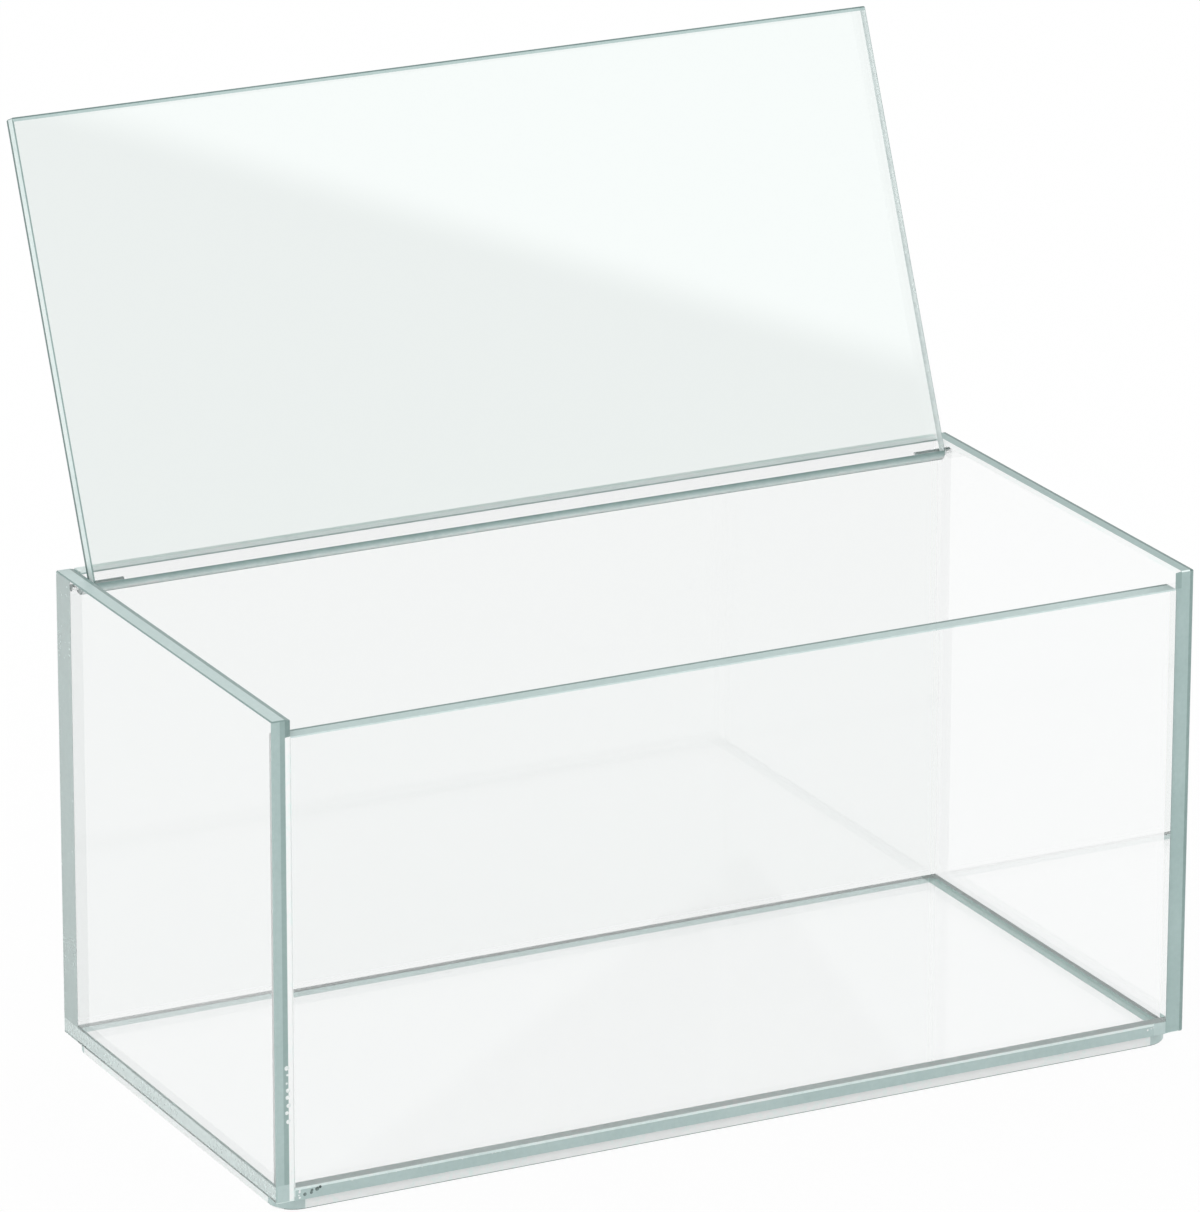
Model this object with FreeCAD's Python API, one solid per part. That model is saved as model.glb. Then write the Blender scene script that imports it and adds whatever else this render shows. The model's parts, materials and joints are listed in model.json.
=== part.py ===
import FreeCAD, Part
import math
import os

# Clear acrylic storage box with a lid that swings up between its side panels and leans back open.
#
# The box stands on a thin plate with rounded corners. X runs along the width, Y from the front
# to the back and Z up. The origin is the middle of the underside that it stands on.
# All lengths are in millimetres. The lid is modelled open, resting back on the back panel.

V = FreeCAD.Vector

# Outside of the closed box
box_width = 300.0
box_depth = 150.0
box_height = 150.0

# Sheet thickness of each panel
side_thickness = 6.0
front_thickness = 6.0
back_thickness = 6.0
floor_thickness = 4.0
lid_thickness = 5.0

# Plate under the floor
plinth_thickness = 4.0
plinth_inset = 2.0
plinth_corner_radius = 8.0

# Lid: how far it opens, and the room left around it
lid_open_angle = 113.0
lid_side_gap = 1.0
lid_front_setback = 0.5
lid_seat_gap = 0.3
lid_stop_gap = 0.3

# Hinge pins, fixed in the ends of the lid and turning in blind holes in the side panels
pin_diameter = 2.0
pin_depth_in_lid = 10.0
pin_running_clearance = 0.05
pin_end_gap = 0.3
pin_cover = 1.2

# Places that the pieces share
inner_width = box_width - 2.0 * side_thickness
front_y = -box_depth / 2.0
back_y = box_depth / 2.0
back_inner_y = back_y - back_thickness
floor_top_z = plinth_thickness + floor_thickness
lid_seat_z = box_height - lid_thickness - lid_seat_gap

# The pins lie in the middle of the lid's thickness, at the centre of its round rear edge.
# The lid opens until its outer face leans on the inner top edge of the back panel.
nose_radius = lid_thickness / 2.0
lean = math.radians(lid_open_angle - 90.0)
pivot_z = box_height - nose_radius
pivot_to_back = (nose_radius + lid_stop_gap + nose_radius * math.sin(lean)) / math.cos(lean)
pivot_y = back_inner_y - pivot_to_back

lid_width = inner_width - 2.0 * lid_side_gap
pin_hole_depth = side_thickness - pin_cover
pin_length = pin_depth_in_lid + lid_side_gap + pin_hole_depth - pin_end_gap


def sheet(x_size, y_size, z_size, y_low, z_low):
    """A flat panel, centred on X, with its lowest Y and Z given."""
    return Part.makeBox(x_size, y_size, z_size, V(-x_size / 2.0, y_low, z_low))


def pin_rod(radius, length, x_start):
    """A round rod along +X on the hinge axis of the closed lid."""
    return Part.makeCylinder(radius, length, V(x_start, pivot_y, pivot_z), V(1, 0, 0))


def opened(shape):
    """The shape turned from the closed lid's place to the open one."""
    turned = shape.copy()
    turned.rotate(V(0, pivot_y, pivot_z), V(1, 0, 0), -lid_open_angle)
    return turned


def mirrored(shape):
    """The same piece on the other side of the box."""
    return shape.mirror(V(0, 0, 0), V(1, 0, 0))


def base_plinth():
    """Plate that the box stands on, set in from the walls, with rounded corners."""
    width = box_width - 2.0 * plinth_inset
    depth = box_depth - 2.0 * plinth_inset
    plate = sheet(width, depth, plinth_thickness, -depth / 2.0, 0.0)
    upright = [edge for edge in plate.Edges if abs(edge.tangentAt(edge.FirstParameter).z) > 0.5]
    return plate.makeFillet(plinth_corner_radius, upright)


def floor_panel():
    """Floor between the two side panels, under the front and back panels."""
    return sheet(inner_width, box_depth, floor_thickness, front_y, plinth_thickness)


def front_panel():
    """Front wall. It stops short of the top, and the closed lid rests over it."""
    return sheet(inner_width, front_thickness, lid_seat_z - floor_top_z, front_y, floor_top_z)


def back_panel():
    """Back wall. Its inner top edge is the stop that the open lid leans on."""
    return sheet(inner_width, back_thickness, box_height - floor_top_z, back_inner_y, floor_top_z)


def left_side_panel():
    """Side wall at full height, with a blind hole for the hinge pin in its inner face."""
    low = V(-box_width / 2.0, front_y, plinth_thickness)
    wall = Part.makeBox(side_thickness, box_depth, box_height - plinth_thickness, low)
    hole = pin_rod(pin_diameter / 2.0 + pin_running_clearance, pin_hole_depth, -box_width / 2.0 + pin_cover)
    return wall.cut(hole)


def left_pin():
    """Hinge pin, from the bottom of its hole in the lid almost to the bottom of the wall's hole."""
    return pin_rod(pin_diameter / 2.0, pin_length, -box_width / 2.0 + pin_cover + pin_end_gap)


def lid_panel():
    """Lid sheet with a round rear edge about the hinge axis, drilled at both ends for the pins."""
    half = lid_width / 2.0
    lid_front_y = front_y + lid_front_setback
    top_z = pivot_z + nose_radius
    bottom_z = pivot_z - nose_radius
    front_top = V(-half, lid_front_y, top_z)
    front_bottom = V(-half, lid_front_y, bottom_z)
    nose_top = V(-half, pivot_y, top_z)
    nose_bottom = V(-half, pivot_y, bottom_z)
    nose_tip = V(-half, pivot_y + nose_radius, pivot_z)
    outline = Part.Wire([
        Part.LineSegment(front_bottom, front_top).toShape(),
        Part.LineSegment(front_top, nose_top).toShape(),
        Part.Arc(nose_top, nose_tip, nose_bottom).toShape(),
        Part.LineSegment(nose_bottom, front_bottom).toShape(),
    ])
    slab = Part.Face(outline).extrude(V(lid_width, 0, 0))
    hole = pin_rod(pin_diameter / 2.0, pin_depth_in_lid, -half)
    return slab.cut(hole).cut(mirrored(hole))


pieces = {
    "base_plinth": base_plinth(),
    "floor_panel": floor_panel(),
    "front_panel": front_panel(),
    "back_panel": back_panel(),
    "left_side_panel": left_side_panel(),
    "right_side_panel": mirrored(left_side_panel()),
    "lid_panel": opened(lid_panel()),
    "left_hinge_pin": opened(left_pin()),
    "right_hinge_pin": opened(mirrored(left_pin())),
}

os.makedirs("parts", exist_ok=True)
for node, shape in pieces.items():
    shape.exportStep("parts/" + node + ".step")
    print(node, "solids", len(shape.Solids), "volume cm3", round(shape.Volume / 1000.0, 3))
print("hinge axis y", round(pivot_y, 4), "z", round(pivot_z, 4), "opens to", lid_open_angle, "degrees")
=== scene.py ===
# %% [markdown]
# # A clear acrylic box with a hinged lid
# The real box is cut from clear sheet, glued along its edges with solvent cement, and closed by a lid
# that turns on two short pins. This lesson dresses the imported CAD model of it: every sheet gets a clear
# body with a faint green tint, cut edges that scatter light, and broken corners where a hand would touch
# them. The CAD frame comes first, because it says where each piece is, and the box that it fills is
# printed in mm.

# %% Load the imported model
import json
import math

import bmesh
import bpy
from mathutils import Matrix, Quaternion, Vector


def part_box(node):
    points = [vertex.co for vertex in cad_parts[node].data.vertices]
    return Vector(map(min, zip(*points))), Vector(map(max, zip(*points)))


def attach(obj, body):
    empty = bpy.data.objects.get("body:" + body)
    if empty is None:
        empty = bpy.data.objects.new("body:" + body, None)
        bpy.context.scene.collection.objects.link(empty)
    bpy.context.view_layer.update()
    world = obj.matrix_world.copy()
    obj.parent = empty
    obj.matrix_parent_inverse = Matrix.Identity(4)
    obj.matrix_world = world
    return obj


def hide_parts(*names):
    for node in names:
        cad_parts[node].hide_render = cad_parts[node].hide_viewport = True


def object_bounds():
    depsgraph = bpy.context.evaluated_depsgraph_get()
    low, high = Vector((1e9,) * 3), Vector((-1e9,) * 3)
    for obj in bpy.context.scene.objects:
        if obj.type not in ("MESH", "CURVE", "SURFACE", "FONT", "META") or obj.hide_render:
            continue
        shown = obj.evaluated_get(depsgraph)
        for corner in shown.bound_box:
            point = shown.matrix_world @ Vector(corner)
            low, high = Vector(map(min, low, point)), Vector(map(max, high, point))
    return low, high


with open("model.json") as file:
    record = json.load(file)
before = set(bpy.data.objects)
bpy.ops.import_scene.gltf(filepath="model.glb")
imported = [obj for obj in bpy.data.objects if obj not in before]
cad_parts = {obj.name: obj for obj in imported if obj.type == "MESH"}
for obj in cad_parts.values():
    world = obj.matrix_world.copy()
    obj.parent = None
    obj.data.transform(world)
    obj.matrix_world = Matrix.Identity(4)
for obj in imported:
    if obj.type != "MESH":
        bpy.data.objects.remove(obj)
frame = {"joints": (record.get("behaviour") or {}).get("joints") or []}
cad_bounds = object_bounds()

MM = 0.001
print("CAD box in mm", [[round(value / MM, 2) for value in corner] for corner in cad_bounds])

# %% [markdown]
# ## The acrylic
# Clear acrylic has two looks. Its polished faces are almost invisible, and its sawn edges are sage green
# and matt, because the saw scatters light that has travelled a long way inside the sheet. One colour for
# all of it would look wrong, so two face attributes tell the shader where it is. `cut_edge` is how matt a
# face is, and `tone` how pale. The tone of a face also carries painted light and shade: edges, arrises and
# flats are painted paler or darker face by face, as light falls on them. On a polished face, tone 1 is
# clear, the next tones down are painted shade on the back and the lid, and the lowest are a sage and a dark
# sage under the floor's rim. The body of the sheet is a real absorbing volume, and fine noise breaks up the
# matt parts as a scraper does.

# %% Helpers for shader nodes
def add_node(tree, kind, settings=None, **sockets):
    """A node with its settings, and values for its input sockets by name."""
    node = tree.nodes.new(kind)
    for name, value in (settings or {}).items():
        setattr(node, name, value)
    for name, value in sockets.items():
        node.inputs[name.replace("_", " ")].default_value = value
    return node


def add_math(tree, operation, first, second):
    """A Math node whose two inputs are numbers or output sockets."""
    node = tree.nodes.new("ShaderNodeMath")
    node.operation = operation
    for index, value in enumerate((first, second)):
        if isinstance(value, bpy.types.NodeSocket):
            tree.links.new(value, node.inputs[index])
        else:
            node.inputs[index].default_value = value
    return node.outputs[0]


def add_ramp(tree, factor, stops):
    """A Color Ramp through (place, colour) stops."""
    ramp = tree.nodes.new("ShaderNodeValToRGB")
    elements = ramp.color_ramp.elements
    while len(elements) < len(stops):
        elements.new(0.5)
    for element, (place, colour) in zip(elements, stops):
        element.position = place
        element.color = (*colour, 1.0)
    tree.links.new(factor, ramp.inputs["Fac"])
    return ramp.outputs["Color"]


# %% Colours and strengths of the acrylic
ABSORBED_PER_METRE = (2.4, 1.7, 1.8)
ABSORPTION_DENSITY = 10.0
# Sage tones of the cut edges. The tone given to each face also paints in its light and shade.
CUT_TONES = ((0.0, (0.12, 0.20, 0.19)), (0.35, (0.325, 0.45, 0.432)), (0.55, (0.43, 0.565, 0.548)),
             (0.8, (0.605, 0.735, 0.722)), (0.93, (0.86, 0.985, 0.96)), (1.0, (0.965, 0.98, 0.975)))
# Tones of polished faces: painted shade on the back and the lid, and a sage and a dark sage under the
# floor's rim.
FACE_TINTS_AND_PAINTED_SHADE = ((0.0, (0.04, 0.135, 0.112)), (0.3, (0.32, 0.49, 0.47)), (0.6, (0.916, 0.955, 0.941)),
              (0.8, (0.915, 0.927, 0.922)), (1.0, (1.0, 1.0, 1.0)))
ACRYLIC_IOR = 1.49
GRAIN = 0.16
GRAIN_SCALE = 600.0
SMEAR_SCALE = 45.0
CUT_SCATTER = 0.85
CUT_ROUGHNESS = 0.35
CUT_BUMP = 0.15
BUMP_HEIGHT = 0.05 * MM
FACE_ROUGHNESS = 0.01


# %% The acrylic material
def acrylic(name, absorbed):
    """Clear acrylic that absorbs so much per metre, with matt cut edges."""
    material = bpy.data.materials.new(name)
    material.use_nodes = True
    tree = material.node_tree
    link = tree.links.new
    shader = tree.nodes["Principled BSDF"]
    shader.inputs["IOR"].default_value = ACRYLIC_IOR
    cut = add_node(tree, "ShaderNodeAttribute", {"attribute_name": "cut_edge"}).outputs["Fac"]
    tone = add_node(tree, "ShaderNodeAttribute", {"attribute_name": "tone"}).outputs["Fac"]
    where = tree.nodes.new("ShaderNodeTexCoord")
    grain = add_node(tree, "ShaderNodeTexNoise", Scale=GRAIN_SCALE, Detail=3.0, Roughness=0.6)
    smear = add_node(tree, "ShaderNodeTexNoise", Scale=SMEAR_SCALE, Detail=2.0)
    for noise in (grain, smear):
        link(where.outputs["Object"], noise.inputs["Vector"])
    both = add_math(tree, "ADD", grain.outputs["Fac"], smear.outputs["Fac"])
    spread = add_math(tree, "MULTIPLY", add_math(tree, "SUBTRACT", both, 1.0), GRAIN)
    mix = add_node(tree, "ShaderNodeMix", {"data_type": "RGBA"})
    link(cut, mix.inputs["Factor"])
    link(add_ramp(tree, tone, FACE_TINTS_AND_PAINTED_SHADE), mix.inputs[6])
    link(add_ramp(tree, add_math(tree, "ADD", tone, spread), CUT_TONES), mix.inputs[7])
    link(mix.outputs[2], shader.inputs["Base Color"])
    clear = add_math(tree, "SUBTRACT", 1.0, add_math(tree, "MULTIPLY", cut, CUT_SCATTER))
    link(clear, shader.inputs["Transmission Weight"])
    matt = add_math(tree, "MULTIPLY", cut, add_math(tree, "ADD", spread, CUT_ROUGHNESS))
    polish = add_math(tree, "MULTIPLY", smear.outputs["Fac"], FACE_ROUGHNESS)
    link(add_math(tree, "ADD", matt, polish), shader.inputs["Roughness"])
    bump = add_node(tree, "ShaderNodeBump", Distance=BUMP_HEIGHT)
    link(add_math(tree, "MULTIPLY", cut, CUT_BUMP), bump.inputs["Strength"])
    link(grain.outputs["Fac"], bump.inputs["Height"])
    link(bump.outputs["Normal"], shader.inputs["Normal"])
    body = add_node(tree, "ShaderNodeVolumeAbsorption", Density=ABSORPTION_DENSITY)
    body.inputs["Color"].default_value = (*[1.0 - value / ABSORPTION_DENSITY for value in absorbed], 1.0)
    link(body.outputs["Volume"], tree.nodes["Material Output"].inputs["Volume"])
    return material


clear_sheet = acrylic("clear_sheet", ABSORBED_PER_METRE)
print("acrylic absorbs per metre", ABSORBED_PER_METRE)

# %% [markdown]
# ## The front and back sheets
# Each is one flat sheet. A block in the box of its CAD node has that shape, so nothing has to be fitted. A
# hair of air is left in each joint, because two clear bodies that share a face can't both be in front. A
# maker breaks only the corners that stay free, and leaves the glued ones sharp for a tight joint, so only
# the free ones are bevelled here, and some of their narrow flats are painted dark as lines of shade. Cuts
# along planes set off the parts of a face that look different: a streak of painted shade on the front
# sheet's top edge, and the clear top of the back sheet above its painted shade.

# %% Helpers for a sheet
JOINT_AIR = 0.02 * MM
ARRIS = 0.35 * MM
SHARP = math.radians(20)
SQUARE = math.radians(60)
SAME_PLACE = 1e-7


def block(node):
    """A bmesh block in a CAD node's place."""
    low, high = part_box(node)
    air = Vector((JOINT_AIR,) * 3)
    low, high = low + air, high - air
    bm = bmesh.new()
    bmesh.ops.create_cube(bm, size=1.0)
    for vert in bm.verts:
        vert.co = Vector([(low[k] + high[k]) / 2 + vert.co[k] * (high[k] - low[k]) for k in range(3)])
    bm.normal_update()
    return bm


def break_corners(bm, free, width=ARRIS):
    """A narrow flat along each square edge for which free(edge) is true."""
    edges = [edge for edge in bm.edges if edge.calc_face_angle(0.0) > SQUARE and free(edge)]
    bmesh.ops.bevel(bm, geom=edges, offset=width, segments=1, affect="EDGES", profile=0.5)
    bm.normal_update()


def split_at(bm, axis, *places):
    """Cuts the faces along planes across an axis, without parting them."""
    for place in places:
        point, normal = Vector(), Vector()
        point[axis] = place
        normal[axis] = 1.0
        geometry = bm.verts[:] + bm.edges[:] + bm.faces[:]
        bmesh.ops.bisect_plane(bm, geom=geometry, plane_co=point, plane_no=normal, dist=SAME_PLACE)
    bm.normal_update()


def plain_object(name, mesh, material):
    """An object at the origin with one material."""
    mesh.materials.clear()
    mesh.materials.append(material)
    thing = bpy.data.objects.new(name, mesh)
    bpy.context.scene.collection.objects.link(thing)
    return thing


def marked_object(name, bm, material, rule):
    """Turns a bmesh into an object, with cut_edge and tone on each face from rule(centre, normal)."""
    cut_layer = bm.faces.layers.float.new("cut_edge")
    tone_layer = bm.faces.layers.float.new("tone")
    bm.normal_update()
    for face in bm.faces:
        face[cut_layer], face[tone_layer] = rule(face.calc_center_median(), face.normal)
    matt = [face[cut_layer] > 0.0 for face in bm.faces]
    mesh = bpy.data.meshes.new(name)
    bm.to_mesh(mesh)
    bm.free()
    mesh.set_sharp_from_angle(angle=SHARP)
    mesh.polygons.foreach_set("use_smooth", matt)
    return plain_object(name, mesh, material)


def place(thing, body, node, slot):
    """Lets a piece ride on its body in the place of its CAD node."""
    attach(thing, body)
    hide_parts(node)
    print(thing.name, "rides on", body, "instead of", node, "with", len(thing.data.polygons), "faces")


# %% Which faces are matt, and how pale
SQUARE_ON = 0.93
LONG_EDGE = 100.0 * MM
CLEAR = (0.0, 1.0)
# Painted shade on the polished faces of the back sheet and the lid.
BACK_PAINTED_SHADE = (0.0, 0.8)
LID_PAINTED_SHADE = (0.0, 0.6)
RIM_PALE = (0.0, 0.3)
RIM_DARK = (0.0, 0.0)
# The narrow flats of broken corners, painted nearly black-green as a dark line of shade.
BROKEN_DARK_SHADE = (1.0, 0.06)
WHITE = (1.0 / CUT_SCATTER, 1.0)
PALE = (1.0 / CUT_SCATTER, 0.93)


def sawn(tone):
    """The mark of a cut edge with this tone."""
    return (1.0, tone)


def facing(normal, axis):
    """-1, 0 or 1: whether a face looks down an axis, across it or up it."""
    return round(normal[axis]) if abs(normal[axis]) > SQUARE_ON else 0


def is_broken(normal):
    """True for the narrow flats, which look along no axis."""
    return not any(facing(normal, axis) for axis in range(3))


def at_top(edge):
    """True for an edge that runs along X at the top of a sheet."""
    first, second = [vert.co for vert in edge.verts]
    return abs(first.x - second.x) > LONG_EDGE and min(first.z, second.z) > LONG_EDGE


# %% The front and back sheets
INNER_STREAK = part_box("front_panel")[1].y - 1.5 * MM
BACK_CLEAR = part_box("back_panel")[1].z - 6.0 * MM
# The streak is painted shade along the inner side of the front sheet's top edge.
FRONT_TONES = {"streak": 0.1, "top": 0.69, "arris": 0.8}
BACK_TONES = {"arris": 0.6, "top": 0.93}


def front_rule(centre, normal):
    """A sage top edge with a streak of painted shade on its inner side, a dark painted arris, a pale bottom
    and left edge, and clear faces.
    """
    if is_broken(normal):
        return BROKEN_DARK_SHADE if normal.y > 0 else sawn(FRONT_TONES["arris"])
    if facing(normal, 2) > 0:
        return sawn(FRONT_TONES["streak" if centre.y > INNER_STREAK else "top"])
    if facing(normal, 2):
        return PALE
    return WHITE if facing(normal, 0) < 0 else CLEAR


def back_rule(centre, normal):
    """A pale top edge and left edge, and faces with painted shade that are clear near the top."""
    if is_broken(normal):
        return sawn(BACK_TONES["arris"])
    if facing(normal, 2) > 0:
        return sawn(BACK_TONES["top"])
    if facing(normal, 0) < 0:
        return PALE
    return BACK_PAINTED_SHADE if facing(normal, 1) and centre.z < BACK_CLEAR else CLEAR


for name, node, rule in (("front_sheet", "front_panel", front_rule),
                         ("back_sheet", "back_panel", back_rule)):
    sheet = block(node)
    break_corners(sheet, at_top)
    split_at(sheet, 1, INNER_STREAK)
    split_at(sheet, 2, BACK_CLEAR)
    place(marked_object(name, sheet, clear_sheet, rule), "box", node, "clear_acrylic")

# %% [markdown]
# ## The floor sheet
# The floor runs under the front and back sheets, and its front edge is the sage band along the bottom.
# The rim of its underside is tinted at the back and the right, and frames the floor when it is seen from
# above. Its front and left edges are painted in bands of light and shade, paler or darker by height. Cuts
# along planes set off that rim and those bands.

# %% The floor sheet
floor_low, floor_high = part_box("floor_panel")
RIM_RIGHT = floor_high.x - 3.8 * MM
RIM_BACK = (floor_high.y - 9.2 * MM, floor_high.y - 5.0 * MM)
PALE_END = floor_high.x - 4.0 * MM
EDGE_LEVELS = [floor_low.z + step * MM for step in (1.2, 3.2)]
# Bands of painted light and shade by height, on the front and the left edge.
FRONT_PAINTED_BANDS = (0.66, 0.66, 0.93)
LEFT_PAINTED_BANDS = (0.76, 0.95, 0.82)
FLOOR_TONES = {"front end": 0.78, "back": 0.8, "right": 0.8}


def floor_rule(centre, normal):
    """Clear on top, tinted under the rim, and painted in bands of light and shade along the front and left
    edges.
    """
    level = sum(centre.z > height for height in EDGE_LEVELS)
    if facing(normal, 2) > 0:
        return CLEAR
    if facing(normal, 2):
        if centre.x > RIM_RIGHT:
            return RIM_DARK
        return RIM_PALE if RIM_BACK[0] < centre.y < RIM_BACK[1] else CLEAR
    if facing(normal, 1) < 0:
        return sawn(FLOOR_TONES["front end"] if centre.x > PALE_END else FRONT_PAINTED_BANDS[level])
    if facing(normal, 1):
        return sawn(FLOOR_TONES["back"])
    return (PALE[0], LEFT_PAINTED_BANDS[level] if normal.x < 0 else FLOOR_TONES["right"])


sheet = block("floor_panel")
split_at(sheet, 0, RIM_RIGHT, PALE_END)
split_at(sheet, 1, *RIM_BACK)
split_at(sheet, 2, *EDGE_LEVELS)
place(marked_object("floor_sheet", sheet, clear_sheet, floor_rule), "box", "floor_panel", "clear_acrylic")

# %% [markdown]
# ## The side sheets
# The sides stand at full height. Their inner edges at the top and the front were eased with a scraper, a
# wide shallow flat beside the cut edge. A plane cut makes that flat better than a bevel, because it is wider
# on one face than on the other. The flats and edges are painted paler or darker by how light falls on them:
# painted shade on the left sheet's flat above the front sheet and a painted highlight along the top of the
# right sheet's flat, dark streaks of painted shade beside the cut edges, and a paler top edge on the left
# sheet than on the right. Near the back, a blind hole in each inner face takes a hinge pin. A Boolean drills
# it, because only a real hole bends the light as a hole does. On the outside of the left sheet, hazy bands
# show where the floor and the back sheet were cemented to it.

# %% Helpers for cutting and drilling
HINGE = next(joint for joint in frame["joints"] if joint["name"] == "lid_hinge")
PIVOT = Vector(HINGE["pos_m"])


def shave(bm, point, normal):
    """Cuts off what lies beyond a plane and closes the cut with a face."""
    geometry = bm.verts[:] + bm.edges[:] + bm.faces[:]
    cut = bmesh.ops.bisect_plane(bm, geom=geometry, plane_co=point, plane_no=normal,
                                 dist=SAME_PLACE, clear_outer=True)
    rim = [item for item in cut["geom_cut"] if isinstance(item, bmesh.types.BMEdge)]
    bmesh.ops.edgeloop_fill(bm, edges=rim)
    bm.normal_update()


def rod_mesh(name, radius, x_start, x_end, chamfer=0.0, sides=40):
    """A round rod along X on the hinge axis, with chamfered ends."""
    rings = [(x_start, radius - chamfer), (x_end, radius - chamfer)]
    if chamfer:
        step = math.copysign(chamfer, x_end - x_start)
        rings[1:1] = [(x_start + step, radius), (x_end - step, radius)]
    bm = bmesh.new()
    loops = []
    turns = [math.tau * k / sides for k in range(sides)]
    for x, ring_radius in rings:
        ring = [(x, PIVOT.y + ring_radius * math.cos(turn), PIVOT.z + ring_radius * math.sin(turn))
                for turn in turns]
        loops.append([bm.verts.new(spot) for spot in ring])
    for first, second in zip(loops, loops[1:]):
        for k in range(sides):
            bm.faces.new((first[k], first[k - 1], second[k - 1], second[k]))
    bm.faces.new(loops[0])
    bm.faces.new(loops[-1])
    bmesh.ops.recalc_face_normals(bm, faces=bm.faces[:])
    mesh = bpy.data.meshes.new(name)
    bm.to_mesh(mesh)
    bm.free()
    return mesh


def drilled(bm, name, *cutters):
    """The bmesh with each cutter mesh taken out of it by a Boolean."""
    mesh = bpy.data.meshes.new(name)
    bm.to_mesh(mesh)
    bm.free()
    blank = plain_object(name, mesh, clear_sheet)
    tools = [plain_object(cutter.name, cutter, clear_sheet) for cutter in cutters]
    for tool in tools:
        hole = blank.modifiers.new("pin hole", "BOOLEAN")
        hole.operation = "DIFFERENCE"
        hole.solver = "EXACT"
        hole.object = tool
    shaped = bpy.data.meshes.new_from_object(blank.evaluated_get(bpy.context.evaluated_depsgraph_get()))
    result = bmesh.new()
    result.from_mesh(shaped)
    for thing in [blank, *tools]:
        bpy.data.objects.remove(thing)
    bmesh.ops.remove_doubles(result, verts=result.verts[:], dist=SAME_PLACE)
    result.normal_update()
    return result


# %% Faces of a side sheet
EASED_WIDTH = 1.9 * MM
EASED_DEPTH = 0.5 * MM
PIN_HOLE_RADIUS = 1.05 * MM
PIN_HOLE_DEPTH = 4.8 * MM
HOLE_WALL = (0.4, 0.8)
EASED_LEAN = (0.15, 0.5)
FRONT_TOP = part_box("front_panel")[1].z
CORNER_TOP = 9.5 * MM
STREAK_X = {-1: -147.4 * MM, 1: 148.7 * MM}
FLOOR_JOINT = (5.0 * MM, 9.0 * MM)
FLOOR_HAZE = (0.8, 0.9)
BACK_JOINT = 64.8 * MM
BACK_HAZE = (0.7, 0.62)
# The flat above the front sheet, the streak and the top arris are painted dark as shade.
LEFT_TONES = {"flat": 0.2, "top arris": 0.25, "arris": 0.6, "top": 0.78,
              "corner": 0.72, "streak": 0.38, "front": 0.6}
# The outer arrises and the upper flat are painted dark as shade, and the top edge darker than the left
# sheet's.
RIGHT_TONES = {"upper flat": 0.35, "flat": 0.54, "top arris": 0.05, "arris": 0.25,
               "top": 0.43, "front": 0.54}


def in_pin_hole(centre):
    """True for a face that lies round the hinge axis in the pin's hole."""
    return Vector((centre.y - PIVOT.y, centre.z - PIVOT.z)).length < PIN_HOLE_RADIUS * 1.05


def is_eased(normal):
    """True for the wide shallow flats, which lean a little towards the inside."""
    return EASED_LEAN[0] < abs(normal.x) < EASED_LEAN[1]


def left_rule(centre, normal):
    """Sage edges with dark streaks of painted shade, an eased flat with painted shade above the front sheet
    and white below it, and hazy joints on the outside.
    """
    outside = facing(normal, 0) < 0
    if outside and FLOOR_JOINT[0] < centre.z < FLOOR_JOINT[1]:
        return FLOOR_HAZE
    if outside and centre.y > BACK_JOINT:
        return BACK_HAZE
    if facing(normal, 0):
        return CLEAR
    if in_pin_hole(centre):
        return HOLE_WALL
    if is_eased(normal):
        # The eased flat is painted dark as shade above the front sheet.
        return sawn(LEFT_TONES["flat"]) if centre.z > FRONT_TOP else WHITE
    if is_broken(normal) and normal.z > -0.5:
        return sawn(LEFT_TONES["top arris" if normal.z > 0.5 else "arris"])
    if facing(normal, 2) > 0:
        return sawn(LEFT_TONES["top"])
    if facing(normal, 1) >= 0:
        return PALE
    if centre.z < CORNER_TOP:
        return sawn(LEFT_TONES["corner"])
    # The inside of the front edge is painted dark as a streak of shade.
    return sawn(LEFT_TONES["streak" if centre.x > STREAK_X[-1] else "front"])


def right_rule(centre, normal):
    """Sage edges with a dark outer streak of painted shade, and an eased flat with a painted white highlight
    along the top.
    """
    if facing(normal, 0):
        return CLEAR
    if in_pin_hole(centre):
        return HOLE_WALL
    if is_eased(normal):
        upright = sawn(RIGHT_TONES["upper flat" if centre.z > FRONT_TOP else "flat"])
        # The eased flat along the top is painted white as a highlight.
        return WHITE if facing(normal, 2) else upright
    # The outer arrises are painted dark as shade.
    if centre.x > STREAK_X[1] and (normal.z > 0.5 or normal.y < -0.5):
        return sawn(RIGHT_TONES["top arris" if normal.z > 0.5 else "arris"])
    if facing(normal, 2) > 0:
        return sawn(RIGHT_TONES["top"])
    return sawn(RIGHT_TONES["front"]) if normal.y < -0.9 else PALE


# %% The two side sheets
OUTER_X = cad_bounds[1].x - 0.1 * MM


def is_outer(edge):
    """True for an edge that reaches the outside of the box."""
    return max(abs(vert.co.x) for vert in edge.verts) > OUTER_X


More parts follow.
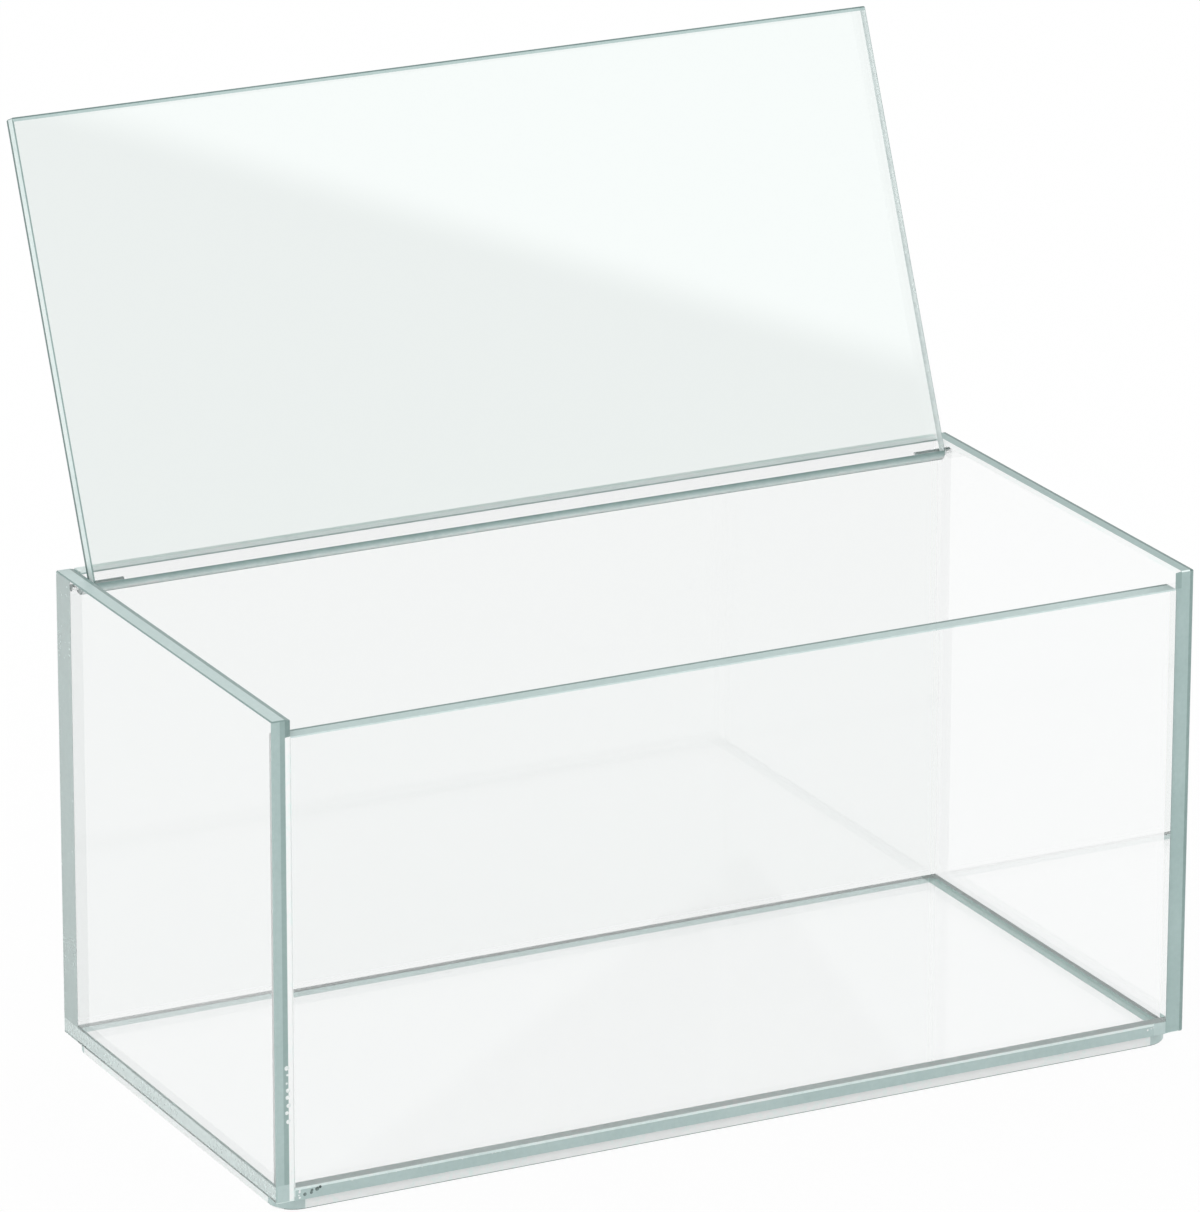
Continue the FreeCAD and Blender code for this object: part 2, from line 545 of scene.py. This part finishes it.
for side, name, node, rule in ((-1, "left_side_sheet", "left_side_panel", left_rule),
                               (1, "right_side_sheet", "right_side_panel", right_rule)):
    low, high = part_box(node)
    inner_x = high.x if side < 0 else low.x
    top_start = Vector((inner_x, 0.0, high.z - EASED_DEPTH))
    front_start = Vector((inner_x, low.y + EASED_DEPTH, 0.0))
    hole_end = inner_x + side * PIN_HOLE_DEPTH
    sheet = block(node)
    shave(sheet, top_start, Vector((-side * EASED_DEPTH, 0.0, EASED_WIDTH)))
    shave(sheet, front_start, Vector((-side * EASED_DEPTH, -EASED_WIDTH, 0.0)))
    break_corners(sheet, is_outer)
    cutter = rod_mesh(name + "_hole", PIN_HOLE_RADIUS, hole_end, inner_x - side * MM)
    sheet = drilled(sheet, name + "_blank", cutter)
    split_at(sheet, 2, FRONT_TOP, CORNER_TOP, *FLOOR_JOINT)
    split_at(sheet, 1, BACK_JOINT)
    split_at(sheet, 0, STREAK_X[side])
    place(marked_object(name, sheet, clear_sheet, rule), "box", node, "clear_acrylic")

# %% [markdown]
# ## The lid
# The lid is a slightly thinner sheet with square ends, a square front edge and a round rear edge, so that
# it can roll past the back panel. An outline drawn across the sheet and drawn out along X gives that shape,
# and the same turn that the CAD uses leans it back. Both ends are drilled for the pins. The inner side of
# its front edge has an eased flat, and its painted shade ends a little before the rear edge. The round rear
# edge is painted paler and darker by the angle round its nose, as light falls on it, and dark lines of
# painted shade run along its arrises and its left end. Beside the right end, a narrow strip of its inner
# face is hazy.

# %% Sizes and outline of the lid
LID_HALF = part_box("lid_panel")[1].x - JOINT_AIR
OPEN_ANGLE = math.radians(HINGE["range_deg"][1])
LID_RADIUS = 2.5 * MM
LID_SETBACK = 0.5 * MM
LID_LENGTH = PIVOT.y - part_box("front_panel")[0].y - LID_SETBACK - JOINT_AIR
NOSE_STEPS = 20
LID_FLAT_WIDTH = 1.3 * MM
LID_FLAT_DEPTH = 0.5 * MM
PIN_DEPTH = 10.0 * MM
LID_HOLE_RADIUS = 1.0 * MM
LID_TURN = Matrix.Translation(PIVOT) @ Matrix.Rotation(-OPEN_ANGLE, 4, "X") @ Matrix.Translation(-PIVOT)
LID_OUT = LID_TURN.to_3x3() @ Vector((0.0, 0.0, 1.0))
LID_ALONG = LID_TURN.to_3x3() @ Vector((0.0, -1.0, 0.0))
END_STREAK = 0.9 * MM
CLEAR_REAR = 5.0 * MM
TOP_STREAK = 0.45 * MM
END_HAZE = LID_HALF - 2.0 * MM
LID_HAZE = (0.7, 0.85)
RIGHT_END = (0.6, 0.8)
FLAT_ON = 0.998
ACROSS = 0.05
# Painted shading round the rear edge's nose, paler or darker by the angle of each step.
NOSE_SHADING = (0.2, 0.3, 0.5, 0.7, 0.85, 0.93, 0.95, 0.95, 0.35, 0.3)
# The end streak and the arrises are dark lines of painted shade.
LID_TONES = {"end streak": 0.0, "left end": 0.93, "front": 0.9, "right outer arris": 0.6,
             "right inner arris": 0.2, "left arris": 0.25, "flat": 0.62}


def lid_outline():
    """The lid across its width, closed: front edge, lower face, round rear edge, upper face."""
    points = [(PIVOT.y - LID_LENGTH, PIVOT.z + LID_RADIUS), (PIVOT.y - LID_LENGTH, PIVOT.z - LID_RADIUS)]
    for k in range(NOSE_STEPS + 1):
        turn = -math.pi / 2 + math.pi * k / NOSE_STEPS
        points.append((PIVOT.y + LID_RADIUS * math.cos(turn), PIVOT.z + LID_RADIUS * math.sin(turn)))
    return points


def lid_rule(centre, normal):
    """Faces with painted shade and a clear rear strip, drilled ends, and painted shading round the rear
    edge's nose.
    """
    away = centre - PIVOT
    outward = normal.dot(LID_OUT)
    along = away.dot(LID_ALONG)
    if outward < -FLAT_ON and centre.x > END_HAZE:
        return LID_HAZE
    if abs(outward) > FLAT_ON:
        return CLEAR if along < CLEAR_REAR else LID_PAINTED_SHADE
    if abs(normal.x) < ACROSS and in_pin_hole(centre):
        return HOLE_WALL
    if normal.x < -SQUARE_ON:
        return sawn(LID_TONES["end streak" if away.dot(LID_OUT) > END_STREAK else "left end"])
    if normal.x > SQUARE_ON:
        return RIGHT_END
    if abs(normal.x) < ACROSS and along < 0.2 * MM:
        # Painted shading by the angle round the nose.
        step = int(math.acos(max(-1.0, min(1.0, -outward))) / math.pi * NOSE_STEPS)
        return (WHITE[0], NOSE_SHADING[min(step, len(NOSE_SHADING) - 1)])
    if abs(normal.dot(LID_ALONG)) > SQUARE_ON:
        return sawn(LID_TONES["front"])
    if normal.x > 0.1:
        return sawn(LID_TONES["right outer arris" if outward > 0 else "right inner arris"])
    if outward > 0 or along > LID_LENGTH - TOP_STREAK:
        return BROKEN_DARK_SHADE
    return sawn(LID_TONES["left arris" if normal.x < -0.1 else "flat"])


# %% The lid sheet
lid = bmesh.new()
cap = lid.faces.new([lid.verts.new((-LID_HALF, y, z)) for y, z in lid_outline()])
drawn = bmesh.ops.extrude_face_region(lid, geom=[cap])
for item in drawn["geom"]:
    if isinstance(item, bmesh.types.BMVert):
        item.co.x = LID_HALF
bmesh.ops.recalc_face_normals(lid, faces=lid.faces[:])
break_corners(lid, lambda edge: True)
holes = [rod_mesh("lid_hole", LID_HOLE_RADIUS, side * (LID_HALF - PIN_DEPTH), side * (LID_HALF + MM))
         for side in (-1, 1)]
lid = drilled(lid, "lid_blank", *holes)
flat_start = PIVOT + Vector((0.0, -LID_LENGTH, LID_FLAT_DEPTH - LID_RADIUS))
shave(lid, flat_start, Vector((0.0, -LID_FLAT_DEPTH, -LID_FLAT_WIDTH)))
split_at(lid, 1, PIVOT.y - CLEAR_REAR, PIVOT.y - LID_LENGTH + TOP_STREAK)
split_at(lid, 2, PIVOT.z + END_STREAK)
split_at(lid, 0, END_HAZE)
bmesh.ops.transform(lid, matrix=LID_TURN, verts=lid.verts[:])
place(marked_object("lid_sheet", lid, clear_sheet, lid_rule), "lid", "lid_panel", "clear_acrylic")

# %% [markdown]
# ## The base plate
# Under the floor lies a thin plate with rounded corners. Its shape follows a rule, a rectangle with
# filleted corners that is filled and raised, so Geometry Nodes draw it from four sizes. A Bevel modifier
# breaks its edges. Its straight sides are white with scattered light, and its corners are sage like the
# sheets' edges. The broken edge along the bottom of its front is painted dark as a line of shade where it
# meets the ground.

# %% Helpers for Geometry Nodes
NUMBER, WHOLE, PAINT = "NodeSocketFloat", "NodeSocketInt", "NodeSocketMaterial"


def node_tree(name, inputs):
    """A Geometry Nodes tree with named inputs, its input node and its output node."""
    tree = bpy.data.node_groups.new(name, "GeometryNodeTree")
    tree.interface.new_socket("Geometry", in_out="INPUT", socket_type="NodeSocketGeometry")
    for label, kind in inputs:
        tree.interface.new_socket(label, in_out="INPUT", socket_type=kind)
    tree.interface.new_socket("Geometry", in_out="OUTPUT", socket_type="NodeSocketGeometry")
    return tree, tree.nodes.new("NodeGroupInput"), tree.nodes.new("NodeGroupOutput")


def finish_tree(tree, given, geometry, result):
    """Ends a tree with Realize Instances and Set Material."""
    real = tree.nodes.new("GeometryNodeRealizeInstances")
    paint = tree.nodes.new("GeometryNodeSetMaterial")
    tree.links.new(geometry, real.inputs["Geometry"])
    tree.links.new(real.outputs["Geometry"], paint.inputs["Geometry"])
    tree.links.new(given.outputs["Material"], paint.inputs["Material"])
    tree.links.new(paint.outputs["Geometry"], result.inputs["Geometry"])


def grown_mesh(name, tree, values, start=None, bevel=None):
    """Runs a tree with these input values and gives the plain mesh."""
    thing = bpy.data.objects.new(name, start or bpy.data.meshes.new(name))
    bpy.context.scene.collection.objects.link(thing)
    grow = thing.modifiers.new("grow", "NODES")
    grow.node_group = tree
    sockets = {item.name: item.identifier for item in tree.interface.items_tree if item.in_out == "INPUT"}
    for label, value in values.items():
        grow[sockets[label]] = value
    if bevel:
        edge = thing.modifiers.new("broken edges", "BEVEL")
        edge.width = bevel
        edge.segments = 1
        edge.limit_method = "ANGLE"
        edge.angle_limit = SQUARE
    mesh = bpy.data.meshes.new_from_object(thing.evaluated_get(bpy.context.evaluated_depsgraph_get()))
    bpy.data.objects.remove(thing)
    return mesh


# %% The plate's tree
def plate_tree():
    """Draws a rectangle, rounds its corners, fills it, raises it and closes it from below."""
    sizes = [("Width", NUMBER), ("Depth", NUMBER), ("Thickness", NUMBER), ("Corner Radius", NUMBER),
             ("Corner Steps", WHOLE), ("Material", PAINT)]
    tree, given, result = node_tree("rounded plate", sizes)
    link = tree.links.new
    outline = tree.nodes.new("GeometryNodeCurvePrimitiveQuadrilateral")
    rounded = add_node(tree, "GeometryNodeFilletCurve", {"mode": "POLY"})
    under = add_node(tree, "GeometryNodeFillCurve", {"mode": "NGONS"})
    raised = tree.nodes.new("GeometryNodeExtrudeMesh")
    raised.inputs["Individual"].default_value = False
    upward = tree.nodes.new("ShaderNodeCombineXYZ")
    upward.inputs["Z"].default_value = 1.0
    turned = tree.nodes.new("GeometryNodeFlipFaces")
    both = tree.nodes.new("GeometryNodeJoinGeometry")
    closed = tree.nodes.new("GeometryNodeMergeByDistance")
    closed.inputs["Distance"].default_value = 0.001 * MM
    link(given.outputs["Width"], outline.inputs["Width"])
    link(given.outputs["Depth"], outline.inputs["Height"])
    link(outline.outputs["Curve"], rounded.inputs["Curve"])
    link(given.outputs["Corner Radius"], rounded.inputs["Radius"])
    link(given.outputs["Corner Steps"], rounded.inputs["Count"])
    link(rounded.outputs["Curve"], under.inputs["Curve"])
    link(under.outputs["Mesh"], raised.inputs["Mesh"])
    link(upward.outputs["Vector"], raised.inputs["Offset"])
    link(given.outputs["Thickness"], raised.inputs["Offset Scale"])
    link(under.outputs["Mesh"], turned.inputs["Mesh"])
    link(raised.outputs["Mesh"], both.inputs["Geometry"])
    link(turned.outputs["Mesh"], both.inputs["Geometry"])
    link(both.outputs["Geometry"], closed.inputs["Geometry"])
    finish_tree(tree, given, closed.outputs["Geometry"], result)
    return tree


# %% The base plate
PLATE_RADIUS = 8.0 * MM
PLATE_BEVEL = 0.4 * MM
PLATE_ABSORBED = (0.9, 0.6, 0.65)
# The lower front arris is painted dark as shade where the plate meets the ground.
PLATE_TONES = {"shaded lower front arris": 0.12, "corner": 0.78}
plate_sheet = acrylic("base_plate_sheet", PLATE_ABSORBED)
plate_low, plate_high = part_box("base_plinth")
plate_size = plate_high - plate_low
plate_mesh = grown_mesh("base_plate", plate_tree(), {
    "Width": plate_size.x - 2 * JOINT_AIR, "Depth": plate_size.y - 2 * JOINT_AIR,
    "Thickness": plate_size.z - 2 * JOINT_AIR, "Corner Radius": PLATE_RADIUS,
    "Corner Steps": 12, "Material": plate_sheet}, bevel=PLATE_BEVEL)


def plate_rule(centre, normal):
    """Clear above and below, white along the straight sides, sage round the corners, and painted dark shade
    on the lower front arris.
    """
    if facing(normal, 2):
        return CLEAR
    if abs(normal.z) > 0.1:
        return sawn(PLATE_TONES["shaded lower front arris"]) if normal.z < 0 and normal.y < -0.5 else WHITE
    straight = max(abs(normal.x), abs(normal.y)) > 0.999
    return WHITE if straight else sawn(PLATE_TONES["corner"])


plate = bmesh.new()
plate.from_mesh(plate_mesh)
bmesh.ops.recalc_face_normals(plate, faces=plate.faces[:])
bmesh.ops.translate(plate, vec=Vector((0.0, 0.0, plate_low.z + JOINT_AIR)), verts=plate.verts[:])
place(marked_object("base_plate", plate, plate_sheet, plate_rule), "box", "base_plinth", "clear_acrylic")

# %% [markdown]
# ## The hinge pins
# Two short pieces of drawn steel rod sit in the ends of the lid and reach into the side sheets. Their ends
# are chamfered, as a cut rod's are. The steel is drawn along its length, so its fine lines run along X:
# the noise is stretched that way.

# %% Drawn steel
LINES_SCALE = (60.0, 2500.0, 2500.0)
STEEL_TONES = ((0.2, (0.66, 0.73, 0.72)), (0.8, (0.86, 0.90, 0.89)))


def drawn_steel():
    """Bright steel with fine lines along X."""
    material = bpy.data.materials.new("drawn_steel")
    material.use_nodes = True
    tree = material.node_tree
    shader = tree.nodes["Principled BSDF"]
    shader.inputs["Metallic"].default_value = 1.0
    where = tree.nodes.new("ShaderNodeTexCoord")
    along = tree.nodes.new("ShaderNodeMapping")
    along.inputs["Scale"].default_value = LINES_SCALE
    lines = add_node(tree, "ShaderNodeTexNoise", Scale=1.0, Detail=4.0)
    tree.links.new(where.outputs["Object"], along.inputs["Vector"])
    tree.links.new(along.outputs["Vector"], lines.inputs["Vector"])
    colour = add_ramp(tree, lines.outputs["Fac"], STEEL_TONES)
    tree.links.new(colour, shader.inputs["Base Color"])
    dull = add_math(tree, "ADD", add_math(tree, "MULTIPLY", lines.outputs["Fac"], 0.25), 0.18)
    tree.links.new(dull, shader.inputs["Roughness"])
    bump = add_node(tree, "ShaderNodeBump", Strength=0.3, Distance=0.02 * MM)
    tree.links.new(lines.outputs["Fac"], bump.inputs["Height"])
    tree.links.new(bump.outputs["Normal"], shader.inputs["Normal"])
    return material


pin_steel = drawn_steel()

# %% The two pins
PIN_RADIUS = 0.97 * MM
PIN_CHAMFER = 0.2 * MM
for name, node in (("left_pin_rod", "left_hinge_pin"), ("right_pin_rod", "right_hinge_pin")):
    low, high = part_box(node)
    mesh = rod_mesh(name, PIN_RADIUS, low.x + JOINT_AIR, high.x - JOINT_AIR, PIN_CHAMFER)
    mesh.shade_smooth()
    mesh.set_sharp_from_angle(angle=SHARP)
    place(plain_object(name, mesh, pin_steel), "lid", node, "pin_steel")

# %% [markdown]
# ## Marks of the cement
# Hand-run cement leaves small marks along the front joints: bright flecks where it trapped air, and a few
# dark specks at the corner. They are flat and lie in the surface. Many small things along a line are a job
# for Geometry Nodes: the tree spreads points along the seam lines, shifts them by a seeded random step
# across the front, and puts a flattened ball on each.

# %% Cement material
def cement(name, pale, dark):
    """Hardened cement, clouded between two colours."""
    material = bpy.data.materials.new(name)
    material.use_nodes = True
    tree = material.node_tree
    shader = tree.nodes["Principled BSDF"]
    shader.inputs["Roughness"].default_value = 0.35
    where = tree.nodes.new("ShaderNodeTexCoord")
    cloud = add_node(tree, "ShaderNodeTexNoise", Scale=900.0, Detail=2.0)
    tree.links.new(where.outputs["Object"], cloud.inputs["Vector"])
    colour = add_ramp(tree, cloud.outputs["Fac"], ((0.3, dark), (0.6, pale)))
    tree.links.new(colour, shader.inputs["Base Color"])
    return material


fleck_white = cement("cement_fleck", (0.93, 0.96, 0.95), (0.68, 0.77, 0.76))
speck_dark = cement("cement_speck", (0.20, 0.27, 0.26), (0.06, 0.09, 0.085))


# %% The marks' tree
def marks_tree():
    """Spreads points along loose edges and puts a flattened ball on each."""
    sizes = [("Spacing", NUMBER), ("Spread", NUMBER), ("Smallest", NUMBER), ("Largest", NUMBER),
             ("Depth", NUMBER), ("Seed", WHOLE), ("Material", PAINT)]
    tree, given, result = node_tree("cement marks", sizes)
    link = tree.links.new
    lines = tree.nodes.new("GeometryNodeMeshToCurve")
    points = add_node(tree, "GeometryNodeCurveToPoints", {"mode": "LENGTH"})
    across = tree.nodes.new("ShaderNodeCombineXYZ")
    against = tree.nodes.new("ShaderNodeCombineXYZ")
    shift = add_node(tree, "FunctionNodeRandomValue", {"data_type": "FLOAT_VECTOR"})
    moved = tree.nodes.new("GeometryNodeSetPosition")
    ball = add_node(tree, "GeometryNodeMeshIcoSphere", Radius=1.0, Subdivisions=2)
    size = add_node(tree, "FunctionNodeRandomValue", {"data_type": "FLOAT"})
    shape = tree.nodes.new("ShaderNodeCombineXYZ")
    each = tree.nodes.new("GeometryNodeInstanceOnPoints")
    back = add_math(tree, "MULTIPLY", given.outputs["Spread"], -1.0)
    for axis in ("X", "Z"):
        link(given.outputs["Spread"], across.inputs[axis])
        link(back, against.inputs[axis])
        link(size.outputs[1], shape.inputs[axis])
    link(given.outputs["Geometry"], lines.inputs["Mesh"])
    link(lines.outputs["Curve"], points.inputs["Curve"])
    link(given.outputs["Spacing"], points.inputs["Length"])
    link(against.outputs["Vector"], shift.inputs["Min"])
    link(across.outputs["Vector"], shift.inputs["Max"])
    link(given.outputs["Seed"], shift.inputs["Seed"])
    link(points.outputs["Points"], moved.inputs["Geometry"])
    link(shift.outputs["Value"], moved.inputs["Offset"])
    link(given.outputs["Smallest"], size.inputs[2])
    link(given.outputs["Largest"], size.inputs[3])
    link(given.outputs["Seed"], size.inputs["Seed"])
    link(given.outputs["Depth"], shape.inputs["Y"])
    link(moved.outputs["Geometry"], each.inputs["Points"])
    link(ball.outputs["Mesh"], each.inputs["Instance"])
    link(shape.outputs["Vector"], each.inputs["Scale"])
    finish_tree(tree, given, each.outputs["Instances"], result)
    return tree


# %% Marks along the front seams
MARK_DEPTH = 0.04 * MM
MARK_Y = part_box("floor_panel")[0].y + MARK_DEPTH + 0.002 * MM
BALL_FACES = 80


def seam_lines(name, *lines):
    """A mesh of loose edges, one for each pair of points in mm across and up the front."""
    mesh = bpy.data.meshes.new(name)
    points = [(x * MM, MARK_Y, z * MM) for line in lines for x, z in line]
    mesh.from_pydata(points, [(k, k + 1) for k in range(0, len(points), 2)], [])
    return mesh


marks = marks_tree()


def cement_marks(name, material, seed, spacing, spread, sizes, *lines):
    """Marks along seam lines, in mm. sizes holds the smallest and the largest radius."""
    mesh = grown_mesh(name, marks, {
        "Spacing": spacing * MM, "Spread": spread * MM, "Smallest": sizes[0] * MM,
        "Largest": sizes[1] * MM, "Depth": MARK_DEPTH, "Seed": seed, "Material": material,
    }, start=seam_lines(name, *lines))
    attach(plain_object(name, mesh, material), "box")
    print(name, "has", len(mesh.polygons) // BALL_FACES, "marks")


cement_marks("seam_flecks", fleck_white, 7, 1.5, 0.4, (0.08, 0.25),
             ((-126, 7.3), (-104, 7.3)), ((-100, 7.4), (-60, 7.4)))
cement_marks("upright_flecks", fleck_white, 3, 2.2, 0.4, (0.3, 0.9),
             ((-146.1, 29), (-146.1, 45)))
cement_marks("corner_flecks", fleck_white, 4, 0.7, 0.2, (0.25, 0.5),
             ((-142.7, 4.9), (-142.7, 7.2)), ((138.0, 6.2), (140.0, 6.6)))
cement_marks("corner_specks", speck_dark, 5, 1.1, 0.2, (0.35, 0.8),
             ((-138.6, 6.6), (-136.0, 6.8)), ((-141.0, 5.5), (-139.0, 5.6)))

# %% [markdown]
# ## Stage, light and camera
# The photo has a white ground and soft light from all round, and its lid mirrors the dark edge of the
# studio as a soft slanting border. A white world gives such light without lamps, and each colour renders as
# it is written. The floor shows mostly as plain white to the camera, to mirrors and through glass, and its
# diffuse part keeps the shadow. A small card stands where the open lid mirrors it, dark below a soft border
# and bright above. It stands near, because the other sheets would mirror a distant one as well.

# %% Floor
FLOOR_GLOW = 0.95
FLOOR_RADIUS = 8.0
FLOOR_DROP = 0.2 * MM


def pale_floor():
    """Shows mostly as white to the camera, mirrors and glass, with a diffuse part that holds shadows."""
    material = bpy.data.materials.new("pale_floor")
    material.use_nodes = True
    tree = material.node_tree
    shader = tree.nodes["Principled BSDF"]
    shader.inputs["Base Color"].default_value = (0.97, 0.97, 0.97, 1.0)
    shader.inputs["Roughness"].default_value = 0.9
    shader.inputs["Specular IOR Level"].default_value = 0.0
    white = add_node(tree, "ShaderNodeEmission", Strength=1.0)
    rays = tree.nodes.new("ShaderNodeLightPath")
    seen = add_math(tree, "MAXIMUM", rays.outputs["Is Camera Ray"], rays.outputs["Is Glossy Ray"])
    seen = add_math(tree, "MAXIMUM", seen, rays.outputs["Is Transmission Ray"])
    mix = tree.nodes.new("ShaderNodeMixShader")
    tree.links.new(add_math(tree, "MULTIPLY", seen, FLOOR_GLOW), mix.inputs["Fac"])
    tree.links.new(shader.outputs["BSDF"], mix.inputs[1])
    tree.links.new(white.outputs["Emission"], mix.inputs[2])
    tree.links.new(mix.outputs["Shader"], tree.nodes["Material Output"].inputs["Surface"])
    return material


ground = bmesh.new()
bmesh.ops.create_circle(ground, cap_ends=True, radius=FLOOR_RADIUS, segments=96)
bmesh.ops.translate(ground, vec=Vector((0.0, 0.0, cad_bounds[0].z - FLOOR_DROP)), verts=ground.verts[:])
ground_mesh = bpy.data.meshes.new("studio_floor")
ground.to_mesh(ground_mesh)
ground.free()
plain_object("studio_floor", ground_mesh, pale_floor())

# %% Camera at the photo's angle
AZIMUTH, ELEVATION, ROLL = math.radians(-27.11), math.radians(18.76), math.radians(0.12)
AIM = Vector((-8.3, 0.0, 140.0)) * MM
DISTANCE = 2.579
FOCAL_PIXELS, IMAGE_WIDTH, IMAGE_HEIGHT = 8758.0, 1200.0, 1212.0
toward_camera = Vector((math.sin(AZIMUTH) * math.cos(ELEVATION), -math.cos(AZIMUTH) * math.cos(ELEVATION),
                        math.sin(ELEVATION)))
camera = bpy.data.objects.new("camera", bpy.data.cameras.new("camera"))
camera.data.sensor_fit = "HORIZONTAL"
camera.data.sensor_width = 36.0
camera.data.lens = FOCAL_PIXELS / IMAGE_WIDTH * camera.data.sensor_width
camera.data.clip_end = 100.0
camera.location = AIM + toward_camera * DISTANCE
camera.rotation_mode = "QUATERNION"
camera.rotation_quaternion = (-toward_camera).to_track_quat("-Z", "Y") @ Quaternion((0.0, 0.0, 1.0), ROLL)
bpy.context.scene.collection.objects.link(camera)
bpy.context.scene.camera = camera
print("camera lens in mm", round(camera.data.lens, 2), "from", [round(v, 3) for v in camera.location])

# %% Card that the lid mirrors
CARD_DISTANCE = 0.7
CARD_MARGIN = 0.04
CARD_BORDER = 10.0 * MM
CARD_LIGHT = (0.05, 1.45)
LID_CORNERS = ((8, 117), (857, 6), (942, 438), (85, 568))
LID_CENTRE = (480, 290)
BORDER_ENDS = ((90, 118), (910, 362))
BRIGHT_SPOT = (800, 100)


def lid_mirror(pixel_x, pixel_y):
    """Where the view at this place of the photo meets the open lid, and where it is mirrored to."""
    ray = Vector((pixel_x - IMAGE_WIDTH / 2, IMAGE_HEIGHT / 2 - pixel_y, -FOCAL_PIXELS)).normalized()
    ray.rotate(camera.rotation_quaternion)
    reach = (PIVOT - camera.location).dot(LID_OUT) / ray.dot(LID_OUT)
    return camera.location + ray * reach, ray.reflect(LID_OUT)


lid_middle, CARD_AXIS = lid_mirror(*LID_CENTRE)
CARD_MIDDLE = lid_middle + CARD_AXIS * CARD_DISTANCE


def on_card(pixel_x, pixel_y):
    """The place on the card that is mirrored at this place of the photo."""
    start, way = lid_mirror(pixel_x, pixel_y)
    return start + way * ((CARD_MIDDLE - start).dot(CARD_AXIS) / way.dot(CARD_AXIS))


def card_frame():
    """The card's own axes: along the border, towards its bright part, and out of the card."""
    first, last = [on_card(*spot) for spot in BORDER_ENDS]
    along = (last - first).normalized()
    bright = CARD_AXIS.cross(along)
    if bright.dot(on_card(*BRIGHT_SPOT) - first) < 0:
        bright.negate()
    axes = Matrix((along, bright, along.cross(bright))).transposed().to_4x4()
    return Matrix.Translation((first + last) / 2) @ axes


def card_light():
    """Dark on one side of the card's border and bright on the other, with a soft step between."""
    material = bpy.data.materials.new("card_light")
    material.use_nodes = True
    tree = material.node_tree
    where = tree.nodes.new("ShaderNodeTexCoord")
    parts = tree.nodes.new("ShaderNodeSeparateXYZ")
    step = add_node(tree, "ShaderNodeMapRange", {"interpolation_type": "SMOOTHSTEP"})
    limits = {"From Min": -CARD_BORDER, "From Max": CARD_BORDER,
              "To Min": CARD_LIGHT[0], "To Max": CARD_LIGHT[1]}
    for label, value in limits.items():
        step.inputs[label].default_value = value
    glow = tree.nodes.new("ShaderNodeEmission")
    tree.links.new(where.outputs["Object"], parts.inputs["Vector"])
    tree.links.new(parts.outputs["Y"], step.inputs["Value"])
    tree.links.new(step.outputs["Result"], glow.inputs["Strength"])
    tree.links.new(glow.outputs["Emission"], tree.nodes["Material Output"].inputs["Surface"])
    return material


# %% The card in its place
card_place = card_frame()
spots = [card_place.inverted() @ on_card(*corner) for corner in LID_CORNERS]
left, right = min(spot.x for spot in spots) - CARD_MARGIN, max(spot.x for spot in spots) + CARD_MARGIN
lower, upper = min(spot.y for spot in spots) - CARD_MARGIN, max(spot.y for spot in spots) + CARD_MARGIN
corners = [(left, lower, 0.0), (right, lower, 0.0), (right, upper, 0.0), (left, upper, 0.0)]
card_mesh = bpy.data.meshes.new("studio_card")
card_mesh.from_pydata(corners, [], [(0, 1, 2, 3)])
card = plain_object("studio_card", card_mesh, card_light())
card.matrix_world = card_place
card.visible_camera = False
card.visible_diffuse = False
card.visible_shadow = False
print("card at", [round(value, 3) for value in card_place.translation],
      "across", round(right - left, 3), "up", round(upper - lower, 3))

# %% World
world = bpy.data.worlds.new("studio")
world.use_nodes = True
world.node_tree.nodes["Background"].inputs["Color"].default_value = (1.0, 1.0, 1.0, 1.0)
world.node_tree.nodes["Background"].inputs["Strength"].default_value = 1.0
bpy.context.scene.world = world

# %% [markdown]
# ## Render settings
# Light that is trapped in a sheet is mirrored many times before it leaves by an edge, so the number of
# bounces is high. The dressed box has to fill the same space as the CAD model.

# %% Settings
BOUNCES = 64
scene = bpy.context.scene
scene.view_settings.view_transform = "Standard"
for kind in ("max_bounces", "glossy_bounces", "transmission_bounces"):
    setattr(scene.cycles, kind, BOUNCES)
